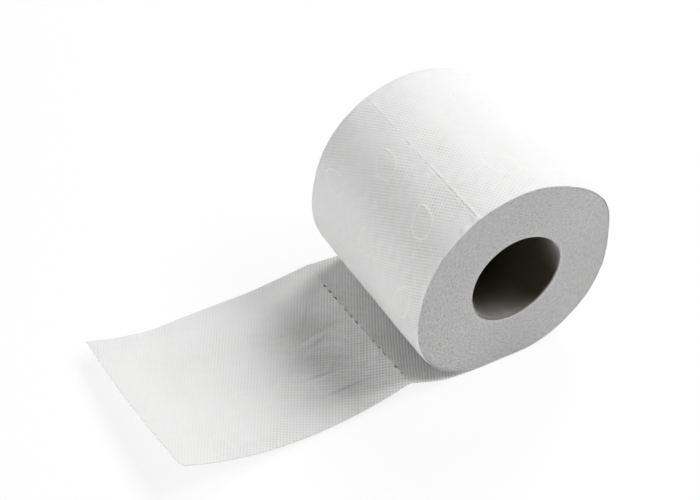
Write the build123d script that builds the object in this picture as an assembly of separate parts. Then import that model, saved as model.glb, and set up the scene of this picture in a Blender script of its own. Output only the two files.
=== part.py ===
# Toilet paper roll on a cardboard core, with its first sheet unrolled from underneath.
# The roll's axis is Y, the loose sheet runs along the ground towards -X, and +Z is up.
# The origin is the middle of the core's bore. Lengths are millimetres, angles are degrees.
# Angles round the axis start at +X and grow towards +Z, the way the web winds inwards.

import os
from math import atan, atan2, cos, degrees, pi, radians, sin

from build123d import *

# Core
core_bore_radius = 23.0
core_wall = 0.5
core_inset = 0.4  # each end of the core stands this far inside the paper's end face

# Wound paper
roll_width = 96.0
body_radius = 50.7
rest_height = 50.6  # from the ground up to the axis
flat_right = 10.0  # end of the flat spot, on the side away from the loose sheet
flat_left = 14.0  # end of the flat spot, on the side of the loose sheet
bulge_angles = (29, 222, 314)  # directions in which the soft roll bulges out of round
bulge_heights = (2.5, 5.2, 2.1)
bulge_half_angles = (32, 53, 58)  # each bulge fades out this far from its direction
paper_thickness = 0.4

# Turns that show on the end faces, one line for about eight turns of the real web
turn_lines = 9
turn_line_width = 0.25
turn_line_depth = 0.6
core_margin = 2.0  # from the innermost line's end to the core

# Loose sheet
sheet_length = 118.0
perforation_reach = 53.5  # from the axis out to the perforation where the loose sheet starts
contact_reach = 20.0  # the paper lies flat on the ground from the roll out to here
near_lifts = (18.5, 10.6, 5.4, 2.8, 2.6, 4.9, 9.5)  # near edge above the ground, from the free end inwards
far_lifts = (8.5, 2.8, 0.1, 0.3, 0.1, 1.3, 3.4)  # both at even steps, the last at the perforation
near_strip_lift = 2.4  # near edge halfway between the perforation and the flat stretch
far_strip_lift = 1.6

# Perforations
slits_in_row = 19
bond_length = 1.2
slit_width = 0.3
tear_depth = 0.5  # how far the torn bonds stand out of the free edge
upper_row_angle = 117.0  # direction of the row that shows on top of the roll

core_radius = core_bore_radius + core_wall
ground = -rest_height
sheet_top = ground + paper_thickness
slit_pitch = roll_width / slits_in_row
slit_length = slit_pitch - bond_length
row_angle_step = degrees(sheet_length / body_radius)
bottom = 270
lift_off_angle = 360 + degrees(atan2(ground, flat_right))
outline_steps = 22
line_steps = 32  # straight stretches in each turn of the spiral line
fit_passes = 5  # corrections after which the loose sheet has its full length
near_plane = Plane.XZ.offset(roll_width / 2)
far_plane = Plane.XZ.offset(-roll_width / 2)


def outline_radius(angle):
    """Distance from the axis to the soft outline, which bulges out of round in a few directions."""
    radius = body_radius
    for direction, height, half_angle in zip(bulge_angles, bulge_heights, bulge_half_angles):
        away = abs((angle - direction + 180) % 360 - 180)
        if away < half_angle:
            radius += height * (1 + cos(pi * away / half_angle)) / 2
    return radius


def web_point(angle, depth):
    """A point of the winding at this depth, counted where the outline doesn't bulge."""
    outside = outline_radius(angle)
    radius = outside - (outside - core_radius) * depth / (body_radius - core_radius)
    return (radius * cos(radians(angle)), radius * sin(radians(angle)))


def outer_depth(angle):
    """The outermost turn lies on the next one, so after a full turn it is one paper lower."""
    return paper_thickness * (angle - bottom) / 360


def round_line(points):
    """A line of arcs, each through three points of the row in turn."""
    return Curve() + [ThreePointArc(*points[i : i + 3]) for i in range(0, len(points) - 2, 2)]


def core_tube():
    tube = Cylinder(core_radius, roll_width - 2 * core_inset) - Cylinder(core_bore_radius, roll_width)
    return Rot(90, 0, 0) * tube


def outside_face():
    """Section inside the outermost surface, with the flat spot and the step where the web leaves."""
    right_end = (flat_right, ground)
    left_end = (-flat_left, sheet_top)
    last_angle = 360 + bottom - degrees(atan2(flat_left, -sheet_top))
    step = (last_angle - lift_off_angle) / outline_steps
    angles = [lift_off_angle + step * i for i in range(1, outline_steps)]
    outside = round_line([right_end, *[web_point(a, outer_depth(a)) for a in angles], left_end])
    return make_face(outside + Polyline(left_end, (0, sheet_top), (0, ground), right_end))


def turn_line(inset):
    """One side of the spiral line: straight over the flat spot, then round and round inwards."""
    pitch = (body_radius - core_radius - core_margin - paper_thickness) / turn_lines
    height = sheet_top + inset
    points = [(-contact_reach, height), (flat_right, height)]
    for step in range(1, turn_lines * line_steps + 1):
        turn = step / line_steps
        points.append(web_point(lift_off_angle + 360 * turn, paper_thickness + inset + pitch * turn))
    return points


def turn_grooves():
    """The spiral line of the turns, cut into both end faces from the crevice under the roll."""
    outer = turn_line(0)
    inner = turn_line(turn_line_width)
    face = make_face(Polyline(*outer, *reversed(inner), close=True))
    near = extrude(near_plane * face, amount=-turn_line_depth)
    far = extrude(far_plane * face, amount=turn_line_depth)
    return [near, far]


def wound_body():
    section = outside_face() - Circle(core_radius)
    return extrude(Plane.XZ * section, amount=roll_width / 2, both=True)


def sheet_points(lifts, run):
    """The loose sheet's long edge, at even steps from its free end to the perforation."""
    step = run / (len(lifts) - 1)
    return [(step * i - run - perforation_reach, ground + lift) for i, lift in enumerate(lifts)]


def sheet_run(lifts):
    """How far the free end lies from the perforation along the ground, at the sheet's full length."""
    run = sheet_length
    for _ in range(fit_passes):
        run *= sheet_length / round_line(sheet_points(lifts, run)).length
    return run


def sheet_section(lifts, strip_lift):
    """Section of the loose paper along one long edge, from under the axis to the free end."""
    sheet = sheet_points(lifts, sheet_run(lifts))
    halfway = (-(perforation_reach + contact_reach) / 2, ground + strip_lift)
    strip = [sheet[-1], halfway, (-contact_reach, ground)]
    outline = Line(sheet[0], (sheet[0][0], sheet[0][1] + paper_thickness)) + Line((0, ground), (0, sheet_top))
    for rise in (0, paper_thickness):
        for points in (sheet, strip):
            outline += round_line([(x, z + rise) for x, z in points])
        outline += Line((-contact_reach, ground + rise), (0, ground + rise))
    return make_face(outline)


def loose_paper():
    """The strip that leaves the roll and the loose sheet, ruled between their two long edges."""
    near = near_plane * sheet_section(near_lifts, near_strip_lift)
    far = far_plane * sheet_section(far_lifts, far_strip_lift)
    return loft([near, far], ruled=True)


def slit_row(width, height):
    """Cutters for one row of perforation slits across the web."""
    slit = Box(width, slit_length, height)
    return [place * slit for place in GridLocations(1, slit_pitch, 1, slits_in_row)]


def loose_slits():
    """The perforation behind the loose sheet, and the same row torn open along its free edge."""
    tall = 2 * (max(near_lifts) + 2 * paper_thickness)
    near_run = sheet_run(near_lifts)
    far_run = sheet_run(far_lifts)
    skew = degrees(atan((far_run - near_run) / roll_width))
    perforation = Pos(-perforation_reach, 0, ground)
    free_edge = Pos(-perforation_reach - (near_run + far_run) / 2, 0, ground) * Rot(0, 0, skew)
    row = [perforation * slit for slit in slit_row(slit_width, tall)]
    torn = [free_edge * slit for slit in slit_row(2 * tear_depth, tall)]
    return row + torn


def wound_slits():
    """The perforations that show on the outermost turn, one sheet apart."""
    cutters = []
    for step in (-1, 0):
        angle = (upper_row_angle + step * row_angle_step - bottom) % 360 + bottom
        x, z = web_point(angle, outer_depth(angle))
        place = Pos(x, 0, z) * Rot(0, 90 - angle, 0)
        cutters += [place * slit for slit in slit_row(slit_width, 2 * paper_thickness)]
    return cutters


def paper_roll():
    paper = wound_body() + loose_paper()
    return paper - turn_grooves() - loose_slits() - wound_slits()


os.makedirs("parts", exist_ok=True)
export_step(core_tube(), "parts/core_tube.step")
export_step(paper_roll(), "parts/paper_roll.step")
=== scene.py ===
import math

import bpy
import numpy as np
from mathutils import Matrix, Vector


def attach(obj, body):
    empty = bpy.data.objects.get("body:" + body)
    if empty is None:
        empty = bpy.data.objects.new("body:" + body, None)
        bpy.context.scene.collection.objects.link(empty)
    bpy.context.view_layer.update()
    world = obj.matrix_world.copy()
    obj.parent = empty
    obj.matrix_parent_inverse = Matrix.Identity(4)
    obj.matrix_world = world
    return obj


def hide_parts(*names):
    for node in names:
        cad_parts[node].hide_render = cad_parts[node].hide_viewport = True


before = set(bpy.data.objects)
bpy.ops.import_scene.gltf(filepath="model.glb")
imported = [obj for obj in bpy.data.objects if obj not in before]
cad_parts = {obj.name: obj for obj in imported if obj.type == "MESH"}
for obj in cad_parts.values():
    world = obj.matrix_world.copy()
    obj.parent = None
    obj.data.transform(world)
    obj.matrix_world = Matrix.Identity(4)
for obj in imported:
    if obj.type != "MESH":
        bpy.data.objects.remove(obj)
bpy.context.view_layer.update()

# A soft toilet paper roll on its side, its first sheet unrolled to the left.
# Shapes are worked out in millimetres along (s) and across (y) the web, then placed in metres.
mm = 0.001

rollShape = {
    "width": 96.0,
    "radius": 50.7,
    "restHeight": 50.6,
    "coreRadius": 23.5,
    "flatRight": 10.0,  # where the web lifts off the ground
    "flatLeft": 14.0,  # where the finished turn comes down on the web again
    "bulges": [(29, 2.5, 32), (222, 5.2, 53), (314, 2.1, 58)],  # direction, height, half width
    "paper": 0.4,
    "topRow": 117.0,  # direction of the perforation that shows on top
}

looseShape = {  # long edges of the unrolled paper as (x, height above the ground), near edge first
    "sheetLength": 118.0,
    "stripLength": 55.0,  # from the perforation to under the axis, the same on both edges
    "tearReach": 4.0,  # the torn end may stand this far past the sheet's own length
    "sheetEdges": [
        [(-168, 18.4), (-151.6, 11.3), (-135.2, 6.2), (-118.8, 3.3)]
        + [(-102.4, 2.3), (-86, 3.1), (-69.7, 5.4), (-53.3, 9.4)],
        [(-170.7, 8.4), (-154, 3.1), (-137.3, 0), (-120.7, 0.3)]
        + [(-104, 0.3), (-87.3, 0.1), (-70.7, 1.5), (-54, 3.4)],
    ],
    "stripEdges": [
        [(-53.3, 9.4), (-35.2, 2.4), (-17.6, 0.3), (0, 0)],
        [(-54, 3.4), (-35.6, 1.8), (-17.8, 0), (0, 0)],
    ],
}


def deselectAll():
    if bpy.context.object and bpy.context.object.mode != "OBJECT":
        bpy.ops.object.mode_set(mode="OBJECT")
    bpy.ops.object.select_all(action="DESELECT")


def pick(piece):
    deselectAll()
    piece.select_set(True)
    bpy.context.view_layer.objects.active = piece


def smoothShade(piece, angle):
    pick(piece)
    bpy.ops.object.shade_smooth_by_angle(angle=math.radians(angle))


def editChosen(piece, chosen, faces):  # opens edit mode with the chosen faces selected, or else edges
    pick(piece)
    bpy.context.tool_settings.mesh_select_mode = (False, not faces, faces)
    bpy.ops.object.mode_set(mode="EDIT")
    bpy.ops.mesh.select_all(action="DESELECT")
    bpy.ops.object.mode_set(mode="OBJECT")
    parts = piece.data.polygons if faces else piece.data.edges
    parts.foreach_set("select", chosen)
    bpy.ops.object.mode_set(mode="EDIT")


def readPoints(piece):
    flat = np.empty(len(piece.data.vertices) * 3)
    piece.data.vertices.foreach_get("co", flat)
    return flat.reshape(-1, 3) / mm


def writePoints(piece, points):
    piece.data.vertices.foreach_set("co", (points * mm).ravel())
    piece.data.update()


def smoothStep(low, high, value):
    t = np.clip((value - low) / (high - low), 0, 1)
    return t * t * (3 - 2 * t)


def ripple(u, v, wavelength, seed):  # soft irregular waves, the same each run
    draw = np.random.default_rng(seed)
    total = 0
    for _ in range(7):
        heading = draw.uniform(0, 2 * math.pi)
        size = 2 * math.pi / (wavelength * draw.uniform(0.6, 1.6))
        shift = draw.uniform(0, 2 * math.pi)
        total = total + np.sin((u * math.cos(heading) + v * math.sin(heading)) * size + shift)
    return total / 4


def spot(s, y, middleS, middleY, reachS, reachY):  # 1 in its middle, fading to 0 around it
    return np.exp(-(((s - middleS) / reachS) ** 2) - ((y - middleY) / reachY) ** 2)


def smoothLine(points, steps=24):  # a smooth line through given points
    knots = np.array(points, float)
    knots = np.vstack([2 * knots[0] - knots[1], knots, 2 * knots[-1] - knots[-2]])
    line = []
    for a, b, c, d in zip(knots, knots[1:], knots[2:], knots[3:]):
        slope = c - a
        bend = 2 * a - 5 * b + 4 * c - d
        twist = 3 * b - a - 3 * c + d
        for i in range(steps):
            t = i / steps
            line.append((2 * b + slope * t + bend * t**2 + twist * t**3) / 2)
    return np.array(line + [knots[-2]])


def outlineRadius(angle):
    radius = np.full_like(np.asarray(angle, float), rollShape["radius"])
    for direction, height, halfWidth in rollShape["bulges"]:
        away = np.abs((angle - direction + 180) % 360 - 180)
        rise = height * (1 + np.cos(np.pi * away / halfWidth)) / 2
        radius = radius + np.where(away < halfWidth, rise, 0)
    return radius


def liftOffAngle():  # direction in which the web leaves the ground
    return 360 - math.degrees(math.atan2(rollShape["restHeight"], rollShape["flatRight"]))


def along(line):
    return np.concatenate([[0], np.cumsum(np.hypot(*np.diff(line, axis=0).T))])


def webPath():  # the web's middle line on both long edges, from the free end inwards
    paper = rollShape["paper"]
    ground = -rollShape["restHeight"] + paper / 2
    last = 360 + 270 - math.degrees(math.atan2(rollShape["flatLeft"], rollShape["restHeight"] - paper))
    angles = np.arange(liftOffAngle(), last, 0.5)
    radii = outlineRadius(angles) - paper * (angles - 270) / 360 - paper / 2
    turn = np.column_stack([radii * np.cos(np.radians(angles)), radii * np.sin(np.radians(angles))])
    inside = [(x, ground + paper) for x in range(-int(rollShape["flatLeft"]), 3)]
    roll = np.vstack([turn, inside])
    marks = {"perforation": looseShape["sheetLength"]}
    marks["liftOff"] = marks["perforation"] + looseShape["stripLength"] + rollShape["flatRight"]
    rollAt = marks["liftOff"] + along(roll)
    edges = []
    for sheetEdge, stripEdge in zip(looseShape["sheetEdges"], looseShape["stripEdges"]):
        sheet = smoothLine(sheetEdge) + (0, ground)
        strip = smoothLine(stripEdge) + (0, ground)
        sheetAt = along(sheet) / along(sheet)[-1] * looseShape["sheetLength"]
        stripAt = marks["perforation"] + along(strip) / along(strip)[-1] * looseShape["stripLength"]
        past = sheet[0] + (sheet[0] - sheet[1]) / sheetAt[1] * looseShape["tearReach"]
        s = np.concatenate([[-looseShape["tearReach"]], sheetAt, stripAt[1:], rollAt])
        edges.append((s, np.vstack([past, sheet, strip[1:], roll])))
    marks["topRow"] = float(np.interp(rollShape["topRow"] + 360, angles, rollAt[: len(angles)]))
    marks["rightRow"] = marks["topRow"] - looseShape["sheetLength"]
    marks["crevice"] = float(rollAt[len(angles) - 1])
    marks["end"] = float(rollAt[-1])
    return edges, marks


webEdges, webMarks = webPath()


def webPlace(s, y):
    t = y / rollShape["width"] + 0.5
    (nearAt, near), (farAt, far) = webEdges
    x = (1 - t) * np.interp(s, nearAt, near[:, 0]) + t * np.interp(s, farAt, far[:, 0])
    z = (1 - t) * np.interp(s, nearAt, near[:, 1]) + t * np.interp(s, farAt, far[:, 1])
    return x, z


def webFrame(s, y):  # place and upward normal, which points at the axis once the web is wound
    step = 0.4
    x, z = webPlace(s, y)
    backX, backZ = webPlace(s - step, y)
    nextX, nextZ = webPlace(s + step, y)
    run = np.hypot(nextX - backX, nextZ - backZ)
    return x, z, -(nextZ - backZ) / run, (nextX - backX) / run


embossing = {
    "stepA": (1.24, -0.73),  # the dot pattern's two steps, along and across the web
    "stepB": (-0.83, -1.42),
    "ribShare": (0.2, 0.6),  # how far dots run together into ribs on the inner side, near and far
    "outerRibs": 0.25,
    "pitDepth": 0.12,
    "deepestPit": 0.16,
    "pitSharpness": 1.4,
    "cellsPerDot": 3,
    "crispShare": 0.85,
    "wornShare": 0.25,  # the pattern is this much weaker on the roll
    "wornReach": 40.0,
    "unevenness": (0.2, 0.25),  # broad and fine
    "wornUnevenness": 0.12,  # so much more of the broad one on the roll
    "crispest": 2.2,
    "pressedFlat": [  # where the pattern has worn off: middle from the top row and across, reach, share
        (50, 28, 24, 28, 0.85),
        (58, -4, 14, 20, 0.6),
        (62, -22, 12, 12, 0.7),
        (30, 22, 16, 20, 0.35),
        (-42, 12, 22, 26, 0.5),
        (-345, 0, 50, 80, 0.85),
        (-325, -44, 24, 12, -0.9),
        (-275, 15, 24, 24, 0.4),
        (-275, 40, 50, 14, 0.75),
        (14, -10, 16, 14, -0.45),  # and crisper here
        (48, -44, 30, 9, -0.3),
        (-245, -24, 24, 32, -1.1),
        (-208, 0, 26, 60, -0.8),
        (-22, 4, 15, 40, 0.4),
        (-60, 0, 36, 80, 0.8),
    ],
    "ringLength": 15.7,
    "ringWidth": 11.3,
    "ringLine": 0.34,
    "ringHeight": 0.15,
    "ringShare": 0.8,
    "innerRing": 0.35,  # how much of a ring shows on the web's inner side
    "shownRings": [  # middle from the top row and across, heading of the round end, length, strength
        (13.6, 11.0, -62, 15.7, 0.6),
        (38.6, 33.0, -87, 15.7, 0.75),
        (18.6, -26.5, -52, 15.7, 1.0),
        (49.6, 0.5, -30, 13.0, 0.7),
        (57.1, -34.0, 20, 23.0, 1.0),
        (-25.4, -25.5, -114, 20.0, 0.5),
        (-38.4, 24.5, -58, 15.7, 0.4),
        (-314.9, 18.5, -40, 15.7, 0.6),
        (-275.4, 37.5, -75, 15.7, 0.6),
    ],
    "shownReach": (-60, 75),  # along the web from the top row, with no other rings than these
    "ringStepA": (8.5, -34.7),  # the rest follow in rows
    "ringStepB": (26.9, 23.5),
    "ringSpacing": 24.0,  # no closer than this to a listed one
}


def dotCoordinates(s, y):
    (ax, ay), (bx, by) = embossing["stepA"], embossing["stepB"]
    return (s * ax + y * ay) / (ax * ax + ay * ay), (s * bx + y * by) / (bx * bx + by * by)


def dotPits(s, y, ribs):  # 1 in the middle of each pit
    a, b = dotCoordinates(s, y)
    columns = (1 + np.cos(2 * np.pi * a)) / 2
    dots = (1 + np.cos(2 * np.pi * b)) / 2
    return (columns * (ribs + (1 - ribs) * dots)) ** embossing["pitSharpness"]


def pressedAway(s, y):  # 1 where the pattern is crisp, towards 0 where it has been pressed flat
    worn = smoothStep(webMarks["liftOff"], webMarks["liftOff"] + embossing["wornReach"], s)
    crisp = embossing["crispShare"] - embossing["wornShare"] * worn
    broad, fine = embossing["unevenness"]
    crisp = crisp + (broad + embossing["wornUnevenness"] * worn) * ripple(s, y, 24, 51)
    crisp = crisp + fine * ripple(s, y, 7, 54)
    for *place, share in embossing["pressedFlat"]:
        crisp = crisp * (1 - share * spot(s - webMarks["topRow"], y, *place))
    return np.clip(crisp, 0, embossing["crispest"])


def ribShare(s, y):  # the ribs begin along a slanting, wavy line
    near, far = embossing["ribShare"]
    toStrip = smoothStep(webMarks["perforation"] - 3, webMarks["perforation"] + 3, s)
    toFar = smoothStep(-25, 30, y + (s - 60) * 0.35 + 6 * ripple(s, y, 20, 53))
    return near + (far - near) * np.maximum(toStrip, toFar)


def ringPlaces():  # each drop's middle, direction, length and strength
    shown = embossing["shownRings"]
    low, high = embossing["shownReach"]
    (ax, ay), (bx, by) = embossing["ringStepA"], embossing["ringStepB"]
    reachY = (rollShape["width"] + embossing["ringLength"]) / 2
    spacing = embossing["ringSpacing"]
    places = list(shown)
    for i in range(-9, 10):
        for j in range(-14, 15):
            s = shown[0][0] + i * ax + j * bx
            y = shown[0][1] + i * ay + j * by
            free = all(math.hypot(s - ring[0], y - ring[1]) > spacing for ring in shown)
            if free and not low < s < high and abs(y) < reachY:
                lean = -50 + 45 * math.sin(2.1 * i + 1.3 * j + 0.4)
                places.append((s, y, lean, embossing["ringLength"], embossing["ringShare"]))
    return places


def dropRings(s, y):  # raised outlines of drops, scattered over the whole web
    mark = np.zeros_like(s)
    turn = np.linspace(0, 2 * np.pi, 72, endpoint=False)
    fullWidth = 1.12  # brings the widest place of the drop to its stated width
    outlineWide = np.sin(turn) * np.sin(turn / 2) ** 0.5 * embossing["ringWidth"] / 2 * fullWidth
    for fromRow, middleY, heading, length, share in ringPlaces():
        middleS = webMarks["topRow"] + fromRow
        near = (np.abs(s - middleS) < length) & (np.abs(y - middleY) < length)
        if not near.any():
            continue
        lean = math.radians(heading)
        outlineLong = -np.cos(turn) * length / 2
        ringS = middleS + outlineLong * math.cos(lean) - outlineWide * math.sin(lean)
        ringY = middleY + outlineLong * math.sin(lean) + outlineWide * math.cos(lean)
        away = np.hypot(s[near, None] - ringS, y[near, None] - ringY).min(axis=1)
        strength = share * (0.8 + 0.2 * np.sin((s[near] - middleS) * 0.5 + middleY))
        mark[near] = np.maximum(mark[near], strength * np.exp(-((away / embossing["ringLine"]) ** 2)))
    return mark


creases = {
    "folds": [  # middle along and across, slant, depth (below 0: a ridge), width, length, painted shade
        (98, 4.0, 0.08, -0.5, 1.3, 7, 0.0),
        (106, 6.8, -0.12, 0.1, 0.9, 8, 0.38),
        (97, 0.4, 0.12, 0.12, 1.3, 6, 0.72),
        (90, -20.3, -0.13, -0.42, 0.7, 8, 0.0),
        (87, -18.3, -0.13, 0.12, 0.8, 6, 0.72),
        (94, -31.3, -0.08, 0.2, 0.9, 8, 0.78),
        (83.5, 13.5, -0.1, 0.1, 0.7, 6, 0.2),
        (89, -5.5, 0.27, 0.12, 0.7, 6, 0.25),
        (96, -16.5, 0.8, 0.12, 1.1, 3.5, 0.4),
        (101, -23, -0.35, -0.15, 0.6, 4, 0.0),
        (99, 3.5, 0.05, 0.08, 0.6, 5, 0.15),
        (103, -33, 0.25, 0.15, 0.6, 4, 0.3),
        (112, -12, 0.1, 0.08, 0.8, 4, 0.2),
    ],
    "crumple": 0.075,
    "crumplePatch": (94, -12, 17, 26),  # middle along and across, reach along and across
    # painted shade, mottled over a patch of the loose sheet
    "mottle": 0.2,
    "mottledShadePatch": (92, -12, 22, 26),
    "middleShade": 0.13,  # painted shade: the middle of the sheet is a little greyer
    "waveHeight": 0.3,
    "waveLength": 23.0,
    "waveMiddle": 92.0,
    "waveReach": 24.0,
    "swell": 0.18,
    "edgeShare": 0.4,  # how much of all this is left at the long edges
}


def foldSpot(s, y, middleS, middleY, slant, width, length):
    off = (y - middleY - slant * (s - middleS)) / width
    return np.exp(-(off**2) - ((s - middleS) / length) ** 2)


def foldShade(s, y):  # painted shade: darker in the folds, mottled over a patch of the loose sheet, and a little over its middle
    shade = np.zeros_like(s)
    for middleS, middleY, slant, _, width, length, share in creases["folds"]:
        shade = np.maximum(shade, share * foldSpot(s, y, middleS, middleY, slant, width, length))
    mottle = np.clip(ripple(s * 0.45, y + 0.1 * s, 5, 18), 0, 1)
    mottle = mottle + np.clip(ripple(s * 0.4, y - 0.2 * s, 2.6, 19), 0, 1)
    shade = np.maximum(shade, creases["mottle"] * spot(s, y, *creases["mottledShadePatch"]) * mottle)
    middle = smoothStep(8, 30, s) * (1 - smoothStep(94, 108, s)) * (1 - smoothStep(14, 40, y))
    shade = shade * (1 - creases["middleShade"]) + creases["middleShade"] * middle
    return shade * (s < webMarks["perforation"])


def drape(s, y):  # how the loose paper leaves its plain ruled form, upwards
    height = creases["waveHeight"] * np.sin(2 * np.pi * (y + 0.12 * (s - 90)) / creases["waveLength"])
    height = height * np.exp(-(((s - creases["waveMiddle"]) / creases["waveReach"]) ** 2))
    for middleS, middleY, slant, depth, width, length, _ in creases["folds"]:
        height = height - depth * foldSpot(s, y, middleS, middleY, slant, width, length)
    crumpled = creases["crumple"] * spot(s, y, *creases["crumplePatch"])
    height = height + crumpled * ripple(s * 0.4, y + 0.1 * s, 4.5, 17)
    height = height + creases["swell"] * ripple(s, y, 30, 3) * smoothStep(0, 40, s)
    onLoose = 1 - smoothStep(webMarks["perforation"] - 4, webMarks["perforation"] + 16, s)
    return height * onLoose * (1 - (1 - creases["edgeShare"]) * smoothStep(36, 48, np.abs(y)))


rollRelief = {
    "edgeDrop": 0.4,
    "edgeReach": 1.1,
    "waveHeight": 0.22,
    "fineWave": 0.08,
    "wrinkleHeight": 0.09,
    "ridgeHeight": 0.16,
    "ridgeWidth": 0.5,
    "ridges": [(-0.7, 1.0), (0.9, 0.55)],  # on both sides of a row: place, share of the height
    "valleyDepth": 0.1,
    "tufts": [  # place from the top row and across, reach along and across, height
        (7.6, -46.5, 2.2, 1.4, 0.5),
        (0.6, -46.5, 1.5, 1.6, 0.4),
    ],
}


def bulge(s, y):  # how the outermost turn leaves its plain form, outwards
    edge = rollShape["width"] / 2 - np.abs(y)
    height = -rollRelief["edgeDrop"] * np.exp(-edge / rollRelief["edgeReach"])
    height = height + rollRelief["waveHeight"] * ripple(s, y, 34, 11)
    height = height + rollRelief["fineWave"] * ripple(s, y, 9, 12)
    fromTop = s - webMarks["topRow"]
    flank = smoothStep(6, -8, y) * np.exp(-(((fromTop - 45) / 32) ** 2))
    height = height + rollRelief["wrinkleHeight"] * flank * ripple(s * 0.3, y + 0.15 * s, 6, 13)
    patch = np.clip(0.45 + 0.9 * ripple(y, 0 * y, 9, 61), 0, 1.2) + smoothStep(0, -40, y)
    for row in (webMarks["rightRow"], webMarks["topRow"]):
        for side, share in rollRelief["ridges"]:
            off = (s - row - side) / rollRelief["ridgeWidth"]
            height = height + share * rollRelief["ridgeHeight"] * patch * np.exp(-(off**2))
        height = height - rollRelief["valleyDepth"] * np.exp(-(((s - row - 6) / 4) ** 2))
    for *place, rise in rollRelief["tufts"]:
        height = height + rise * spot(fromTop, y, *place)
    fadeIn = smoothStep(webMarks["liftOff"] + 2, webMarks["liftOff"] + 25, s)
    fadeOut = 1 - smoothStep(webMarks["crevice"] - 12, webMarks["crevice"] - 2, s)
    return height * fadeIn * fadeOut


perforation = {
    "slits": 19,
    "bond": 1.2,  # paper left between two slits
    "looseGap": (0.58, 0.003),  # half a slit's width behind the loose sheet, and its growth across
    "wrappedGap": (0.09, -0.01),
    "slitFade": 1.0,  # how far from the row a slit pushes the paper back
    "slitShare": 0.52,  # how much of its place along the row an open slit takes up
    "shutFrom": 32.0,  # the slits beyond here stay shut
    "tear": 0.55,  # how far the torn bonds stand out
    "fray": 0.14,
    "tearFade": 20.0,
    "bow": 1.6,  # how far the torn edge bows out in its middle
    "corner": 1.4,  # how far its near corner is worn back
    "clearance": 0.02,  # between the paper and the ground
}


def bondMask(y):  # 1 on the bonds, 0 in the slits
    pitch = rollShape["width"] / perforation["slits"]
    off = np.abs((y / pitch) - np.round(y / pitch)) * pitch  # distance from a slit's middle
    half = (pitch - perforation["bond"]) / 2
    return smoothStep(half - 0.15, half + 0.15, off)


def tornEdge(y):  # how far the torn end stands back from, or out of, the sheet's own end
    uneven = 0.5 + 0.5 * ripple(y, y, 7, 21)
    teeth = -perforation["tear"] * bondMask(y) * (0.35 + uneven)
    teeth = teeth - perforation["fray"] * ripple(y, 0 * y, 1.3, 22)
    teeth = teeth + perforation["corner"] * smoothStep(-44.5, -48.5, y) ** 2
    return teeth - perforation["bow"] * (np.cos(np.pi * y / rollShape["width"]) - 0.5)


def slitEdge(y, gap):  # each slit is widest in its middle, and some stay shut
    pitch = rollShape["width"] / perforation["slits"]
    off = np.abs(y / pitch - np.round(y / pitch)) * 2
    lens = np.clip(1 - (off / perforation["slitShare"]) ** 2, 0, 1)
    width, growth = gap
    uneven = np.clip(0.75 + 0.4 * ripple(y, 0 * y, 9, 22) + growth * y, 0.2, 1.3)
    shut = smoothStep(perforation["shutFrom"], perforation["shutFrom"] + 8, y) * (growth > 0)
    return width * lens * uneven * (1 - shut)


def flatSheet(name, start, end):  # a flat stretch of the web, with its grid laid along the dot pattern
    (ax, ay), (bx, by) = embossing["stepA"], embossing["stepB"]
    lengthA, lengthB = math.hypot(ax, ay), math.hypot(bx, by)
    length, width = end - start, rollShape["width"]
    middleA, middleB = (round(float(v)) for v in dotCoordinates((start + end) / 2, 0.0))
    lean = math.atan2(ay, ax)
    reachA = length * math.cos(lean) + width * abs(math.sin(lean))
    reachB = length * abs(math.sin(lean)) + width * math.cos(lean)
    dotsA = 2 * math.ceil(reachA / lengthA / 2) + 4
    dotsB = 2 * math.ceil(reachB / lengthB / 2) + 4
    cells = embossing["cellsPerDot"]
    deselectAll()
    bpy.ops.mesh.primitive_grid_add(x_subdivisions=dotsA * cells, y_subdivisions=dotsB * cells, size=1)
    piece = bpy.context.object
    piece.name = name
    piece.scale = (dotsA * lengthA * mm, dotsB * lengthB * mm, 1)
    piece.rotation_euler = (0, 0, lean)
    piece.location = ((middleA * ax + middleB * bx) * mm, (middleA * ay + middleB * by) * mm, 0)
    bpy.ops.object.transform_apply(location=True, rotation=True, scale=True)
    bpy.ops.object.mode_set(mode="EDIT")
    for place, normal in (
        ((start, 0), (-1, 0)),
        ((end, 0), (1, 0)),
        ((0, -width / 2), (0, -1)),
        ((0, width / 2), (0, 1)),
    ):
        bpy.ops.mesh.select_all(action="SELECT")
        bpy.ops.mesh.bisect(
            plane_co=(place[0] * mm, place[1] * mm, 0),
            plane_no=(normal[0], normal[1], 0),
            clear_outer=True,
            threshold=1e-7,
        )
    bpy.ops.mesh.select_all(action="SELECT")
    bpy.ops.mesh.remove_doubles(threshold=0.03 * mm)
    bpy.ops.object.mode_set(mode="OBJECT")
    thick = piece.modifiers.new("paper", "SOLIDIFY")
    thick.thickness = rollShape["paper"] * mm
    thick.offset = 0
    bpy.ops.object.modifier_apply(modifier="paper")
    return piece


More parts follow.
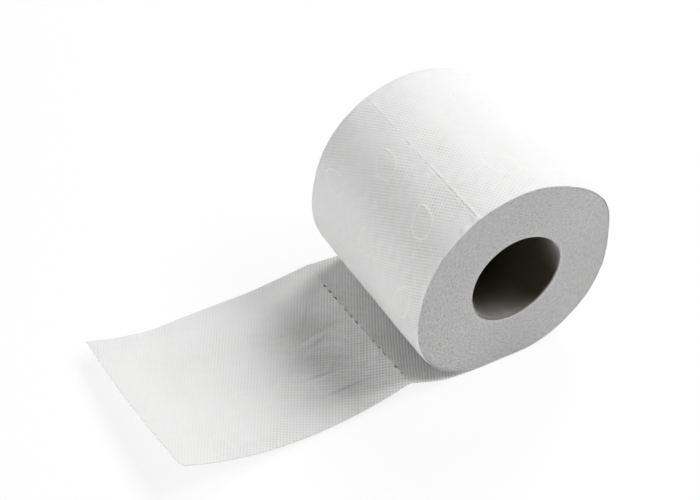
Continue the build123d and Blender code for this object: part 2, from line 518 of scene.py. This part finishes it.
def webSheet(name, start, end, startGap, endGap, wrapped=False):
    print("modelling", name)
    piece = flatSheet(name, start, end)
    flat = readPoints(piece)
    flatS, y, side = flat[:, 0], flat[:, 1], np.sign(flat[:, 2])
    inner = side > 0
    ribs = np.where(inner, ribShare(flatS, y), embossing["outerRibs"])
    rings = dropRings(flatS, y) * np.where(inner, embossing["innerRing"], 1.0)
    crisp = pressedAway(flatS, y) * (1 - rings)
    addWebMap(piece, flatS, y, {"ring": rings, "crisp": crisp, "ribs": ribs, "paintedShade": foldShade(flatS, y)})
    fade = perforation["slitFade"] if startGap else perforation["tearFade"]
    shift = slitEdge(y, startGap) if startGap else tornEdge(y)
    s = flatS + shift * np.clip(1 - (flatS - start) / fade, 0, 1)
    if endGap:
        s = s - slitEdge(y, endGap) * np.clip(1 - (end - flatS) / perforation["slitFade"], 0, 1)
    x, z, normalX, normalZ = webFrame(s, y)
    pits = np.minimum(embossing["pitDepth"] * dotPits(flatS, y, ribs) * crisp, embossing["deepestPit"])
    half = rollShape["paper"] / 2 - pits + embossing["ringHeight"] * rings
    height = side * half + drape(s, y) - bulge(s, y)
    z = np.maximum(z + normalZ * height, perforation["clearance"] - rollShape["restHeight"])
    writePoints(piece, np.column_stack([x + normalX * height, y, z]))
    if wrapped:  # the side against the turns below is hidden, so it needs few faces
        thinHiddenSide(piece, inner)
    smoothShade(piece, 50)
    return piece


webMap = {"span": 600.0}  # millimetres of web to one unit of the map


def cornerPoints(mesh):  # the point at each corner of each face
    corners = np.empty(len(mesh.loops), int)
    mesh.loops.foreach_get("vertex_index", corners)
    return corners


def writeMap(mesh, name, pairs):
    while mesh.uv_layers:
        mesh.uv_layers.remove(mesh.uv_layers[0])
    layer = mesh.uv_layers.new(name=name)
    layer.data.foreach_set("uv", pairs.ravel())


def addWebMap(piece, s, y, marks):
    corners = cornerPoints(piece.data)
    pairs = np.column_stack([s[corners], y[corners] + rollShape["width"] / 2]) / webMap["span"]
    writeMap(piece.data, "web", pairs)
    for name, values in marks.items():
        mark = piece.data.attributes.new(name, "FLOAT", "POINT")
        mark.data.foreach_set("value", values.astype(np.float32))


def thinHiddenSide(piece, hidden, kept=0.08):
    chosen = np.array([all(hidden[v] for v in face.vertices) for face in piece.data.polygons])
    editChosen(piece, chosen, faces=True)
    bpy.ops.mesh.decimate(ratio=kept)
    bpy.ops.object.mode_set(mode="OBJECT")


woundShape = {
    "roundSteps": 256,  # doubled by a cut through each step
    "endRows": 62,
    "outerRows": [0.0, 0.6, 0.94],  # share of the half width
    "boreRows": [0.97, 0.5, 0.0],
    "middleRadius": 37.0,
    "depth": 27.0,  # from the outermost turn to the core
    "outerRadius": 51.6,  # of the outermost turn, taken all round
    "slack": 0.04,  # between the outermost turn and the ones beneath
    "bulgeShare": 0.9,  # of the outermost turn's unevenness
    "bulgeSink": 0.25,
    "endInset": 0.06,
    "groups": 17,  # bands of turns that stand a little proud or back
    "bandHeight": 0.05,
    "wispHeight": 0.05,
    "outerRounding": (0.06, 0.5),  # height and reach
    "innerRounding": (0.3, 0.6),
    "plyEdges": 150,  # fine lines from the outermost turn to the core
    "lip": 1.1,  # how far the innermost turns have sunk over the core's mouth, on its upper side
    "lipReach": 1.2,
    "lipDirection": 118.0,
    "nicks": [  # direction, depth, size
        (218.8, 0.8, 0.5),
        (247.0, 0.83, 0.4),
        (100.0, 0.42, 0.3),
        (112.0, 0.2, 0.25),
    ],
    "nickReach": (3.0, 0.45),  # degrees round, millimetres inwards
}


def endRelief(angle, depth, end):  # how far the cut end of the turns stands in or out
    spiral = depth * woundShape["groups"] - angle / 360
    arc = np.radians(angle) * woundShape["middleRadius"]
    radial = depth * woundShape["depth"]
    height = woundShape["bandHeight"] * np.sin(2 * np.pi * spiral + 0.8 * np.sin(3 * spiral))
    height = height * (0.6 + 0.4 * ripple(arc * 0.15, radial, 9, 32 + end))
    height = height + woundShape["wispHeight"] * ripple(arc * 0.35, radial, 2.4, 34 + end)
    for fromRim, (drop, reach) in (
        (radial, woundShape["outerRounding"]),
        ((1 - depth) * woundShape["depth"], woundShape["innerRounding"]),
    ):
        height = height - drop * np.exp(-fromRim / reach)
    if end < 0:
        for nickAngle, nickDepth, size in woundShape["nicks"]:
            inwards = (depth - nickDepth) * woundShape["depth"]
            height = height - size * spot(angle % 360, inwards, nickAngle, 0, *woundShape["nickReach"])
    return height


def addRing(name, roundSteps, rows, middle, thick):  # round the axis, with a line of points for each row
    deselectAll()
    bpy.ops.mesh.primitive_torus_add(
        major_segments=roundSteps,
        minor_segments=len(rows),
        major_radius=middle * mm,
        minor_radius=thick * mm,
        rotation=(math.pi / 2, 0, 0),
    )
    piece = bpy.context.object
    piece.name = name
    bpy.ops.object.transform_apply(location=True, rotation=True, scale=True)
    return piece


def readRing(piece, rows, middle):  # each point's direction round the axis and the two values of its row
    ring = readPoints(piece)
    angle = np.degrees(np.arctan2(ring[:, 2], ring[:, 0]))
    out = np.hypot(ring[:, 0], ring[:, 2]) - middle
    row = np.round(np.degrees(np.arctan2(ring[:, 1], out)) / 360 * len(rows)).astype(int) % len(rows)
    first, second = np.array(rows).T
    return angle, first[row], second[row]


def writeRing(piece, radius, angle, y):
    turned = np.radians(angle)
    writePoints(piece, np.column_stack([radius * np.cos(turned), y, radius * np.sin(turned)]))


def cutRoundSteps(piece):  # one more point on every edge that runs round the axis
    ring = readPoints(piece)
    ends = np.empty(len(piece.data.edges) * 2, int)
    piece.data.edges.foreach_get("vertices", ends)
    first, second = ring[ends[0::2]], ring[ends[1::2]]
    turned = first[:, 0] * second[:, 2] - first[:, 2] * second[:, 0]
    size = np.hypot(first[:, 0], first[:, 2]) * np.hypot(second[:, 0], second[:, 2])
    editChosen(piece, np.abs(turned / size) > 0.01, faces=False)
    bpy.ops.mesh.subdivide(number_cuts=1, smoothness=0)
    bpy.ops.object.mode_set(mode="OBJECT")


def bulgeAt(angle, y):  # the outermost turn's own unevenness, carried down to the turns beneath
    turned = (angle - liftOffAngle()) % 360
    s = webMarks["liftOff"] + turned * math.radians(1) * woundShape["outerRadius"]
    return (bulge(s, y) - woundShape["bulgeSink"]) * woundShape["bulgeShare"]


def woundRows():  # depth and share of the half width for each row, from the middle of the outside round
    outer = [(0.0, share) for share in woundShape["outerRows"]]
    end = [(step / woundShape["endRows"], 1.0) for step in range(woundShape["endRows"] + 1)]
    bore = [(1.0, share) for share in woundShape["boreRows"]]
    mirrored = [(depth, -share) for depth, share in reversed(outer[1:] + end + bore[:-1])]
    return outer + end + bore + mirrored


def modelWoundTurns():
    print("modelling the wound turns")
    rows = woundRows()
    piece = addRing("woundTurns", woundShape["roundSteps"], rows, woundShape["middleRadius"], 10)
    cutRoundSteps(piece)
    angle, depth, share = readRing(piece, rows, woundShape["middleRadius"])
    fromBottom = (angle - 270) % 360
    paper, slack, core = rollShape["paper"], woundShape["slack"], rollShape["coreRadius"]
    outside = outlineRadius(angle) - paper * (1 + fromBottom / 360) - slack
    floorHeight = rollShape["restHeight"] - 2 * paper - slack
    down = -np.sin(np.radians(angle))
    outside = np.where(down > 0.8, np.minimum(outside, floorHeight / np.maximum(down, 0.1)), outside)
    half = rollShape["width"] / 2 - woundShape["endInset"]
    y = share * half
    outside = outside + bulgeAt(angle, y)
    for end in (-1, 1):
        y = y + np.where(share * end > 0.999, end * endRelief(angle, depth, end), 0)
    radius = outside - (outside - core) * depth
    upper = smoothStep(-0.2, 0.8, np.cos(np.radians(angle - woundShape["lipDirection"])))
    droop = woundShape["lip"] * upper * np.exp(-(radius - core) / woundShape["lipReach"])
    writeRing(piece, radius - droop * (np.abs(share) > 0.999), angle, y)
    addEndMap(piece, fromBottom, depth)
    smoothShade(piece, 60)
    return piece


def addEndMap(piece, fromBottom, depth):  # turns round the axis, and depth from the outside to the core
    mesh = piece.data
    corners = cornerPoints(mesh)
    turned = fromBottom[corners]
    starts = np.empty(len(mesh.polygons), int)
    mesh.polygons.foreach_get("loop_start", starts)
    counts = np.empty(len(mesh.polygons), int)
    mesh.polygons.foreach_get("loop_total", counts)
    lead = np.repeat(turned[starts], counts)  # a face that spans the bottom keeps to one side of it
    turned = turned + np.where(lead - turned > 180, 360, 0) - np.where(turned - lead > 180, 360, 0)
    writeMap(mesh, "turns", np.column_stack([turned / 360, depth[corners]]))


coreShape = {
    "bore": 23.0,
    "wall": 0.5,
    "halfLength": 47.6,
    "endInset": 0.1,
    "ragged": 0.08,  # its cut ends
    "middleRadius": 25.0,
    "roundSteps": 256,
    "boreRows": 130,
    "seamPitch": 62.0,  # along the axis to one turn of the wound strip
    "seamStep": 0.14,
    "seamDip": 0.05,
    "grain": 0.03,
    "outOfRound": 0.1,
    "liftReach": 4.0,  # how far in from the mouth
    "lifted": [  # where the inner ply has come up there: direction, half width, rise
        (-41.0, 5, 0.9),
        (-8.0, 9, 0.35),
        (196.0, 7, 0.4),
    ],
}


def coreRows():  # share of the wall and of the half length for each row, along the bore and back outside
    bore = [(0.0, share) for share in np.linspace(-1, 1, coreShape["boreRows"])]
    outside = [(1.0, share) for share in (1.0, 0.9, 0.0, -0.9, -1.0)]
    return bore + [(0.5, 1.004)] + outside + [(0.5, -1.004)]


def modelCore():
    print("modelling the core")
    rows = coreRows()
    piece = addRing("coreTube", coreShape["roundSteps"], rows, coreShape["middleRadius"], 5)
    angle, wall, share = readRing(piece, rows, coreShape["middleRadius"])
    ragged = coreShape["ragged"] * ripple(angle * 0.4, 0 * angle, 5, 41)
    y = share * (coreShape["halfLength"] - coreShape["endInset"])
    y = y + np.sign(share) * np.where(np.abs(share) > 0.99, ragged, 0)
    spiral = (y / coreShape["seamPitch"] + angle / 360) % 1
    dip = coreShape["seamDip"] * np.exp(-((np.minimum(spiral, 1 - spiral) / 0.006) ** 2))
    inner = coreShape["seamStep"] * (1 - smoothStep(0, 0.03, spiral)) - dip
    inner = inner + coreShape["grain"] * ripple(angle * 0.4, y, 3, 42)
    inner = inner + coreShape["outOfRound"] * ripple(angle * 0.4, y, 40, 43)
    radius = coreShape["bore"] + coreShape["wall"] * wall + np.where(wall < 0.5, inner, 0)
    mouth = -coreShape["halfLength"]
    atMouth = smoothStep(mouth + coreShape["liftReach"], mouth, y) * (wall < 0.9)
    for direction, halfWidth, rise in coreShape["lifted"]:
        away = (angle - direction + 180) % 360 - 180
        radius = radius - rise * np.exp(-((away / halfWidth) ** 2)) * atMouth
    writeRing(piece, radius, angle, y)
    pick(piece)
    bpy.ops.mesh.customdata_custom_splitnormals_clear()
    bpy.ops.object.mode_set(mode="EDIT")
    bpy.ops.mesh.select_all(action="SELECT")
    bpy.ops.mesh.normals_make_consistent(inside=False)
    bpy.ops.object.mode_set(mode="OBJECT")
    smoothShade(piece, 40)
    return piece


class Wire:  # one value in a material's node tree, for sums written as sums
    def __init__(self, paint, socket):
        self.paint = paint
        self.socket = socket

    def maths(self, operation, first, second):
        return self.paint.add("ShaderNodeMath", {"operation": operation}, {0: first, 1: second})

    def __add__(self, other):
        return self.maths("ADD", self, other)

    def __radd__(self, other):
        return self.maths("ADD", other, self)

    def __sub__(self, other):
        return self.maths("SUBTRACT", self, other)

    def __rsub__(self, other):
        return self.maths("SUBTRACT", other, self)

    def __mul__(self, other):
        return self.maths("MULTIPLY", self, other)

    def __rmul__(self, other):
        return self.maths("MULTIPLY", other, self)

    def __pow__(self, other):
        return self.maths("POWER", self, other)

    def __abs__(self):
        return self.maths("ABSOLUTE", self, 0.0)

    def held(self):  # between 0 and 1
        return self.maths("MAXIMUM", self.maths("MINIMUM", self, 1.0), 0.0)

    def wave(self):  # a cosine with a crest at each whole number
        return self.maths("COSINE", self * (2 * math.pi), 0.0)


class Paint:  # the nodes of a material or of the world, added one by one
    def __init__(self, owner):
        owner.use_nodes = True
        self.owner = owner
        self.tree = owner.node_tree
        self.tree.nodes.clear()

    def add(self, kind, settings, sockets, output=0):
        node = self.tree.nodes.new(kind)
        for key, value in settings.items():
            if key == "stops":
                for stop, (position, color) in zip(node.color_ramp.elements, value):
                    stop.position = position
                    stop.color = color
            else:
                setattr(node, key, value)
        for key, value in sockets.items():
            if isinstance(value, Wire):
                self.tree.links.new(value.socket, node.inputs[key])
            else:
                node.inputs[key].default_value = value
        return Wire(self, node.outputs[output] if node.outputs else None)

    def coordinates(self, kind):
        return self.add("ShaderNodeTexCoord", {}, {}, output=kind)

    def split(self, vector):  # its three coordinates
        node = self.add("ShaderNodeSeparateXYZ", {}, {"Vector": vector}).socket.node
        return [Wire(self, output) for output in node.outputs]

    def mark(self, name):  # a value that the piece carries at its points
        return self.add("ShaderNodeAttribute", {"attribute_name": name}, {}, output="Fac")

    def noise(self, vector, scale, detail=2.0, roughness=0.5):
        sockets = {"Vector": vector, "Scale": scale, "Detail": detail, "Roughness": roughness}
        return self.add("ShaderNodeTexNoise", {}, sockets)

    def mix(self, factor, first, second):
        sockets = {0: factor, 6: first, 7: second}
        return self.add("ShaderNodeMix", {"data_type": "RGBA"}, sockets, output=2)

    def ramp(self, value, stops):
        return self.add("ShaderNodeValToRGB", {"stops": stops}, {"Fac": value})

    def bump(self, height, distance, under=None):  # under is a finer relief that it lies on
        sockets = {"Height": height, "Distance": distance}
        if under is not None:
            sockets["Normal"] = under
        return self.add("ShaderNodeBump", {}, sockets)

    def finish(self, color, roughness, shine, normal):
        sockets = {"Base Color": color, "Roughness": roughness, "Normal": normal}
        sockets["Specular IOR Level"] = shine
        shader = self.add("ShaderNodeBsdfPrincipled", {}, sockets)
        self.add("ShaderNodeOutputMaterial", {}, {"Surface": shader})
        return self.owner


tissueLook = {
    "color": (0.837, 0.837, 0.834, 1),
    "cloudColor": (0.81, 0.81, 0.807, 1),
    "pitShadeColor": (0.577, 0.577, 0.574, 1),
    "foldShadeColor": (0.52, 0.52, 0.517, 1),
    "ringColor": (0.94, 0.937, 0.91, 1),
    "pitSharpness": 1.6,
    "pitBump": 0.1 * mm,
    "fibreBump": 0.11 * mm,
    "roughness": 0.95,
    "shine": 0.2,
}


def tissuePaint():
    paint = Paint(bpy.data.materials.new("embossedTissue"))
    place = paint.coordinates("UV")
    u, v, _ = paint.split(place)
    span = webMap["span"]
    s = u * span
    y = v * span - rollShape["width"] / 2
    (ax, ay), (bx, by) = embossing["stepA"], embossing["stepB"]
    sizeA, sizeB = ax * ax + ay * ay, bx * bx + by * by
    columns = (s * (ax / sizeA) + y * (ay / sizeA)).wave() * 0.5 + 0.5
    dots = (s * (bx / sizeB) + y * (by / sizeB)).wave() * 0.5 + 0.5
    ribs = paint.mark("ribs")
    ring = paint.mark("ring")
    pits = (columns * (dots * (1 - ribs) + ribs)) ** tissueLook["pitSharpness"] * paint.mark("crisp")
    fibres = paint.noise(place, span * 2.6, 4.0, 0.65)
    patches = paint.noise(place, span / 22)
    uneven = paint.noise(place, span / 4, 3.0, 0.7)
    plain = paint.mix(patches, tissueLook["color"], tissueLook["cloudColor"])
    # painted shade in the pits of the emboss
    pitShaded = paint.mix(pits * (fibres * 0.9 + uneven * 1.6 - 0.45), plain, tissueLook["pitShadeColor"])
    marked = paint.mix(ring, pitShaded, tissueLook["ringColor"])
    color = paint.mix(paint.mark("paintedShade"), marked, tissueLook["foldShadeColor"])
    fine = paint.bump(fibres, tissueLook["fibreBump"])
    relief = paint.bump(ring * 1.1 - pits, tissueLook["pitBump"], fine)
    return paint.finish(color, tissueLook["roughness"], tissueLook["shine"], relief)


endLook = {
    "color": (0.818, 0.818, 0.815, 1),
    "dark": (0.511, 0.511, 0.509, 1),
    "wispColor": (0.418, 0.418, 0.416, 1),
    "wispStops": [(0.29, (1, 1, 1, 1)), (0.36, (0, 0, 0, 1))],
    "rimShade": (0.26, 0.255, 0.245, 1),  # painted shade on the first turns at the core, on the lower right of the face
    "rimDepth": 26.3,
    "highlightDepth": 25.6,  # a painted highlight line beside them, also on the lower right
    "roundLength": 232.0,  # once round the middle of the face
    "feltBump": 0.17 * mm,
    "turnBump": 0.03 * mm,
    "roughness": 1.0,
    "shine": 0.1,
}


def endPaint():
    paint = Paint(bpy.data.materials.new("cutTissueEdges"))
    around, depth, _ = paint.split(paint.coordinates("UV"))
    place = paint.coordinates("Object")
    x, _, z = paint.split(place)
    roundMm = around * endLook["roundLength"]
    depthMm = depth * woundShape["depth"]
    wander = paint.noise(place, 90.0)
    felt = paint.noise(place, 1300.0, 3.0, 0.7)
    turns = (depth * woundShape["plyEdges"] + around + wander * 3.0).wave()
    stretched = {"X": roundMm * 0.45, "Y": depthMm * 1.9}
    streaks = paint.noise(paint.add("ShaderNodeCombineXYZ", {}, stretched), 0.8, 3.0, 0.6)
    lying = {"X": roundMm * 0.55 + felt, "Y": depthMm * 2.4 + wander * 4}
    fibres = paint.noise(paint.add("ShaderNodeCombineXYZ", {}, lying), 1.2, 2.0, 0.6)
    wisps = paint.ramp(streaks, endLook["wispStops"])
    low = (x * 40 - z * 70 + 0.1).held()  # 1 on the lower right of the face, where the shade and highlight at the core are painted
    # painted shade on the first turns at the core, on the lower right only
    inner = (depthMm - endLook["rimDepth"]) * 4 * low
    paintedHighlight = ((1.0 - abs(depthMm - endLook["highlightDepth"]) * 1.3) * low).held()
    mottle = (streaks - 0.5) * 1.3 + (felt - 0.5) * 0.7 + (fibres - 0.5) * 2.9
    # the mottle is the paper's own; its contrast, strong on the left of the face and weak on the right,
    # is painted shade of the relief
    shade = mottle * (1.0 - x * 6) + turns * 0.03 + 0.63
    plain = paint.mix(shade + paintedHighlight * 0.3, endLook["dark"], endLook["color"])
    color = paint.mix(inner, paint.mix(wisps, plain, endLook["wispColor"]), endLook["rimShade"])
    fine = paint.bump(turns, endLook["turnBump"])
    relief = paint.bump(streaks * 0.8 + felt * 0.6 + fibres * 1.4, endLook["feltBump"], fine)
    return paint.finish(color, endLook["roughness"], endLook["shine"], relief)


boardLook = {
    "color": (0.363, 0.353, 0.335, 1),
    "dark": (0.232, 0.226, 0.214, 1),
    "boreShadeBrown": (0.073, 0.063, 0.045, 1),  # painted shade further inside the bore, darkening the board to a deep brown
    "boreShadeFrom": 46.0,  # from the middle of the bore, where it begins
    "boreShadeOver": 16.0,
    "boreShadow": (0.036, 0.03, 0.02, 1),  # painted shadow on the tube's inner wall, low on the right
    "speck": (0.4, 0.39, 0.37, 1),
    "speckStops": [(0.62, (0, 0, 0, 1)), (0.72, (1, 1, 1, 1))],
    "bump": 0.08 * mm,
    "roughness": 0.9,
    "shine": 0.2,
}


def boardPaint():
    paint = Paint(bpy.data.materials.new("greyBoard"))
    place = paint.coordinates("Object")
    x, y, z = paint.split(place)
    coarse = paint.noise(place, 260.0, 4.0, 0.6)
    fine = paint.noise(place, 1400.0, 3.0, 0.7)
    over = boardLook["boreShadeOver"]
    # painted shade inside the bore, 0 near the mouth and growing inwards
    deepShade = (boardLook["boreShadeFrom"] / over - abs(y) * (1 / mm / over)) ** 0.65
    # where the painted shadow falls inside the bore, low on the right and deeper in
    shadowSide = x * 95 - z * 69 - 1.49 + deepShade * (0.4 - x * 20)
    mouth = paint.mix(coarse, boardLook["dark"], boardLook["color"])
    base = paint.mix(deepShade, mouth, boardLook["boreShadeBrown"])
    base = paint.mix(shadowSide * 0.9, base, boardLook["boreShadow"])
    specks = paint.ramp(fine, boardLook["speckStops"])
    color = paint.mix(specks * (0.9 - deepShade) * (1 - shadowSide), base, boardLook["speck"])
    relief = paint.bump(fine + coarse * 0.6, boardLook["bump"])
    return paint.finish(color, boardLook["roughness"], boardLook["shine"], relief)


stageLook = {
    "floorColor": (0.8, 0.8, 0.8, 1),
    "whiteShare": 0.82,  # how far the camera sees the floor as plain white
    "whiteStrength": 1.04,
    "mattX": (-49.5, 7),  # a patch left matt where it shows through the open slits: middle and reach
    "mattY": (0.6, 40.4),
    "floorSize": 8.0,
}


def buildStage():
    print("setting the stage")
    deselectAll()
    ground = (0, 0, -rollShape["restHeight"] * mm)
    bpy.ops.mesh.primitive_plane_add(size=stageLook["floorSize"], location=ground)
    floor = bpy.context.object
    floor.name = "floor"
    paint = Paint(bpy.data.materials.new("paleFloor"))
    rays = paint.add("ShaderNodeLightPath", {}, {}).socket.node.outputs
    camera, glossy, passing = (
        Wire(paint, rays[kind]) for kind in ("Is Camera Ray", "Is Glossy Ray", "Is Transmission Ray")
    )
    x, y, _ = paint.split(paint.coordinates("Object"))
    (middleX, reachX), (middleY, reachY) = stageLook["mattX"], stageLook["mattY"]
    away = (x * (1 / reachX / mm) - middleX / reachX) ** 2
    away = away + (y * (1 / reachY / mm) - middleY / reachY) ** 8
    matt = ((1 - away) * 3).held()
    seen = (camera + glossy + passing) * (1 - matt) * stageLook["whiteShare"]
    plain = paint.add("ShaderNodeBsdfDiffuse", {}, {"Color": stageLook["floorColor"]})
    glow = {"Color": (1, 1, 1, 1), "Strength": stageLook["whiteStrength"]}
    white = paint.add("ShaderNodeEmission", {}, glow)
    mixed = paint.add("ShaderNodeMixShader", {}, {0: seen, 1: plain, 2: white})
    paint.add("ShaderNodeOutputMaterial", {}, {"Surface": mixed})
    floor.data.materials.append(paint.owner)


lighting = {
    "worldColor": (1, 1, 1, 1),
    "worldStrength": 0.0216,
    "aim": (-0.05, 0.0, -0.03),
    "distance": 1.6,
    "lamps": [  # name, direction from +X towards +Y, height angle, width, watts
        ("rightKey", -10, 52, 0.7, 12.6),
        ("backKey", 40, 46, 0.7, 11.7),
        ("leftFill", 180, 15, 0.8, 6.6),
        ("lowFrontFill", 225, 20, 0.8, 5.2),
        ("frontLeftFill", 225, 45, 0.8, 4.1),
        ("frontRightFill", 320, 45, 0.8, 3.9),
    ],
}


def directionTo(around, height):
    a, h = math.radians(around), math.radians(height)
    return Vector((math.cos(a) * math.cos(h), math.sin(a) * math.cos(h), math.sin(h)))


def buildLights():
    print("placing the lamps")
    paint = Paint(bpy.data.worlds.new("studio"))
    seen = paint.add("ShaderNodeLightPath", {}, {}, output="Is Camera Ray")
    glow = {"Color": lighting["worldColor"], "Strength": lighting["worldStrength"]}
    backdrop = paint.add("ShaderNodeBackground", {}, glow)
    white = paint.add("ShaderNodeBackground", {}, {"Color": (1, 1, 1, 1)})
    mixed = paint.add("ShaderNodeMixShader", {}, {0: seen, 1: backdrop, 2: white})
    paint.add("ShaderNodeOutputWorld", {}, {"Surface": mixed})
    bpy.context.scene.world = paint.owner
    aim = Vector(lighting["aim"])
    for name, around, height, wide, watts in lighting["lamps"]:
        data = bpy.data.lights.new(name, "AREA")
        data.shape = "DISK"
        data.size = wide
        data.energy = watts
        lamp = bpy.data.objects.new(name, data)
        bpy.context.collection.objects.link(lamp)
        lamp.location = aim + lighting["distance"] * directionTo(around, height)
        lamp.rotation_euler = (aim - lamp.location).to_track_quat("-Z", "Y").to_euler()


cameraSetup = {
    "place": (-0.3495, -0.4982, 0.5427),
    "azimuth": -30.34,
    "elevation": 43.01,
    "roll": 0.87,
    "lens": 90.2,
    "sensor": 36.0,
}


def buildCamera():
    print("placing the camera")
    data = bpy.data.cameras.new("camera")
    data.lens = cameraSetup["lens"]
    data.sensor_width = cameraSetup["sensor"]
    camera = bpy.data.objects.new("camera", data)
    bpy.context.collection.objects.link(camera)
    turn = Matrix.Rotation(math.radians(cameraSetup["azimuth"]), 4, "Z")
    tip = Matrix.Rotation(math.radians(90 - cameraSetup["elevation"]), 4, "X")
    roll = Matrix.Rotation(math.radians(cameraSetup["roll"]), 4, "Z")
    camera.matrix_world = Matrix.Translation(cameraSetup["place"]) @ turn @ tip @ roll
    bpy.context.scene.camera = camera


buildStage()
buildLights()
buildCamera()
bpy.context.scene.view_settings.view_transform = "Standard"

tissue = tissuePaint()
looseGap, wrappedGap = perforation["looseGap"], perforation["wrappedGap"]
webPieces = [
    webSheet("looseSheet", 0.0, webMarks["perforation"], None, looseGap),
    webSheet("feedSheet", webMarks["perforation"], webMarks["rightRow"], looseGap, wrappedGap),
    webSheet("backSheet", webMarks["rightRow"], webMarks["topRow"], wrappedGap, wrappedGap, wrapped=True),
    webSheet("topSheet", webMarks["topRow"], webMarks["end"], wrappedGap, None, wrapped=True),
]
for piece in webPieces:
    piece.data.materials.clear()
    piece.data.materials.append(tissue)
    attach(piece, "root")
    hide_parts("paper_roll")

woundTurns = modelWoundTurns()
woundTurns.data.materials.append(endPaint())
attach(woundTurns, "root")
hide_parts("paper_roll")

coreTube = modelCore()
coreTube.data.materials.append(boardPaint())
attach(coreTube, "root")
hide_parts("core_tube")

for piece in webPieces + [woundTurns, coreTube]:
    print(piece.name, "triangles", sum(len(face.vertices) - 2 for face in piece.data.polygons))
